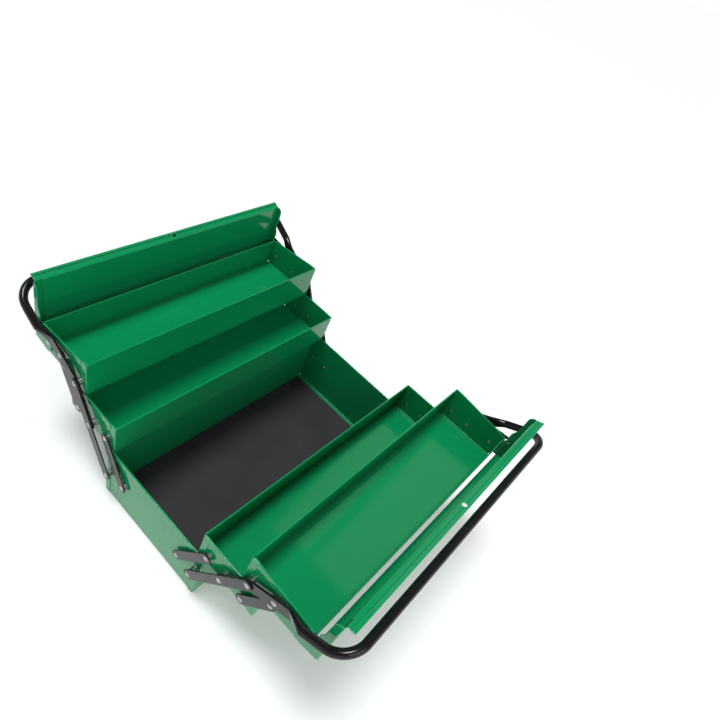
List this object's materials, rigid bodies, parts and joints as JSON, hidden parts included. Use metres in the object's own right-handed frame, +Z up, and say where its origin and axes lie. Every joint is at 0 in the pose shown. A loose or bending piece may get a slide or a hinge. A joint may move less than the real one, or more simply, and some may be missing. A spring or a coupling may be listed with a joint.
{
  "type": "cantilever tool box",
  "caption": "Folded sheet-steel tool box whose stacked trays swing out on riveted links as its twin handles part, with the lids tipping open by their own links",
  "frame": {"origin": "centre of the base's underside, on the ground", "axes": "+X along the box, -Y the front side, +Z up"},
  "size_m": [0.5092, 0.643, 0.2937],
  "materials": {
    "green_sheet": "glossy green enamel on steel sheet",
    "black_steel": "glossy black enamel on steel",
    "rivet_steel": "bright zinc plated rivet",
    "mat": "matt dark mat"
  },
  "bodies": {
    "base": {"base_trough": "green_sheet", "base_end_left": "green_sheet", "base_end_right": "green_sheet", "floor_mat": "mat", "base_rivets": "rivet_steel"},
    "front_handle_frame": {"front_long_link_left": "black_steel", "front_long_link_right": "black_steel", "front_handle": "black_steel", "front_handle_pins": "rivet_steel"},
    "front_short_links": {"front_short_link_left": "black_steel", "front_short_link_right": "black_steel"},
    "front_lower_tray": {"front_lower_tray": "green_sheet", "front_lower_end_left": "green_sheet", "front_lower_end_right": "green_sheet", "front_lower_rivets": "rivet_steel"},
    "front_upper_tray": {"front_upper_tray": "green_sheet", "front_upper_end_left": "green_sheet", "front_upper_end_right": "green_sheet", "front_upper_rivets": "rivet_steel"},
    "front_tray_links": {"front_tray_link_left": "black_steel", "front_tray_link_right": "black_steel"},
    "front_lid": {"front_lid": "green_sheet", "front_lid_pins": "rivet_steel"},
    "front_lid_links": {"front_lid_link_left": "black_steel", "front_lid_link_right": "black_steel"},
    "back_handle_frame": {"back_long_link_left": "black_steel", "back_long_link_right": "black_steel", "back_handle": "black_steel", "back_handle_pins": "rivet_steel"},
    "back_short_links": {"back_short_link_left": "black_steel", "back_short_link_right": "black_steel"},
    "back_lower_tray": {"back_lower_tray": "green_sheet", "back_lower_end_left": "green_sheet", "back_lower_end_right": "green_sheet", "back_lower_rivets": "rivet_steel"},
    "back_upper_tray": {"back_upper_tray": "green_sheet", "back_upper_end_left": "green_sheet", "back_upper_end_right": "green_sheet", "back_upper_rivets": "rivet_steel"},
    "back_tray_links": {"back_tray_link_left": "black_steel", "back_tray_link_right": "black_steel"},
    "back_lid": {"back_lid": "green_sheet", "back_lid_pins": "rivet_steel"},
    "back_lid_links": {"back_lid_link_left": "black_steel", "back_lid_link_right": "black_steel"}
  },
  "joints": [
    {"name": "front_fold", "type": "hinge", "parent": "base", "child": "front_handle_frame", "pos_m": [0, -0.098, 0.064], "axis": [-1, 0, 0], "range_deg": [0, 64.97]},
    {"name": "front_short_links_turn", "type": "hinge", "parent": "base", "child": "front_short_links", "pos_m": [0, -0.066, 0.064], "axis": [-1, 0, 0], "range_deg": [0, 64.97]},
    {"name": "front_lower_tray_level", "type": "hinge", "parent": "front_handle_frame", "child": "front_lower_tray", "pos_m": [0, -0.14524, 0.1382], "axis": [-1, 0, 0], "range_deg": [-64.97, 0]},
    {"name": "front_upper_tray_level", "type": "hinge", "parent": "front_handle_frame", "child": "front_upper_tray", "pos_m": [0, -0.1807, 0.1939], "axis": [-1, 0, 0], "range_deg": [-64.97, 0]},
    {"name": "front_tray_links_turn", "type": "hinge", "parent": "front_lower_tray", "child": "front_tray_links", "pos_m": [0, -0.18024, 0.1382], "axis": [-1, 0, 0], "range_deg": [0, 64.97]},
    {"name": "front_lid_turn", "type": "hinge", "parent": "front_upper_tray", "child": "front_lid", "pos_m": [0, -0.2604, 0.1988], "axis": [-1, 0, 0], "range_deg": [0, 80.51]},
    {"name": "front_lid_links_turn", "type": "hinge", "parent": "front_handle_frame", "child": "front_lid_links", "pos_m": [0, -0.21845, 0.21404], "axis": [-1, 0, 0], "range_deg": [-81.37, 0]},
    {"name": "back_fold", "type": "hinge", "parent": "base", "child": "back_handle_frame", "pos_m": [0, 0.098, 0.064], "axis": [1, 0, 0], "range_deg": [0, 64.97]},
    {"name": "back_short_links_turn", "type": "hinge", "parent": "base", "child": "back_short_links", "pos_m": [0, 0.066, 0.064], "axis": [1, 0, 0], "range_deg": [0, 64.97]},
    {"name": "back_lower_tray_level", "type": "hinge", "parent": "back_handle_frame", "child": "back_lower_tray", "pos_m": [0, 0.14524, 0.1382], "axis": [1, 0, 0], "range_deg": [-64.97, 0]},
    {"name": "back_upper_tray_level", "type": "hinge", "parent": "back_handle_frame", "child": "back_upper_tray", "pos_m": [0, 0.1807, 0.1939], "axis": [1, 0, 0], "range_deg": [-64.97, 0]},
    {"name": "back_tray_links_turn", "type": "hinge", "parent": "back_lower_tray", "child": "back_tray_links", "pos_m": [0, 0.18024, 0.1382], "axis": [1, 0, 0], "range_deg": [0, 64.97]},
    {"name": "back_lid_turn", "type": "hinge", "parent": "back_upper_tray", "child": "back_lid", "pos_m": [0, 0.2604, 0.1988], "axis": [1, 0, 0], "range_deg": [0, 80.51]},
    {"name": "back_lid_links_turn", "type": "hinge", "parent": "back_handle_frame", "child": "back_lid_links", "pos_m": [0, 0.21845, 0.21404], "axis": [1, 0, 0], "range_deg": [-81.37, 0]}
  ],
  "couplings": [
    {"joint": "front_short_links_turn", "follows": "front_fold", "ratio": 1},
    {"joint": "front_lower_tray_level", "follows": "front_fold", "ratio": -1},
    {"joint": "front_upper_tray_level", "follows": "front_fold", "ratio": -1},
    {"joint": "front_tray_links_turn", "follows": "front_fold", "ratio": 1},
    {"joint": "front_lid_turn", "follows": "front_fold", "ratio": 1.2391},
    {"joint": "front_lid_links_turn", "follows": "front_fold", "ratio": -1.2523},
    {"joint": "back_short_links_turn", "follows": "back_fold", "ratio": 1},
    {"joint": "back_lower_tray_level", "follows": "back_fold", "ratio": -1},
    {"joint": "back_upper_tray_level", "follows": "back_fold", "ratio": -1},
    {"joint": "back_tray_links_turn", "follows": "back_fold", "ratio": 1},
    {"joint": "back_lid_turn", "follows": "back_fold", "ratio": 1.2391},
    {"joint": "back_lid_links_turn", "follows": "back_fold", "ratio": -1.2523}
  ]
}
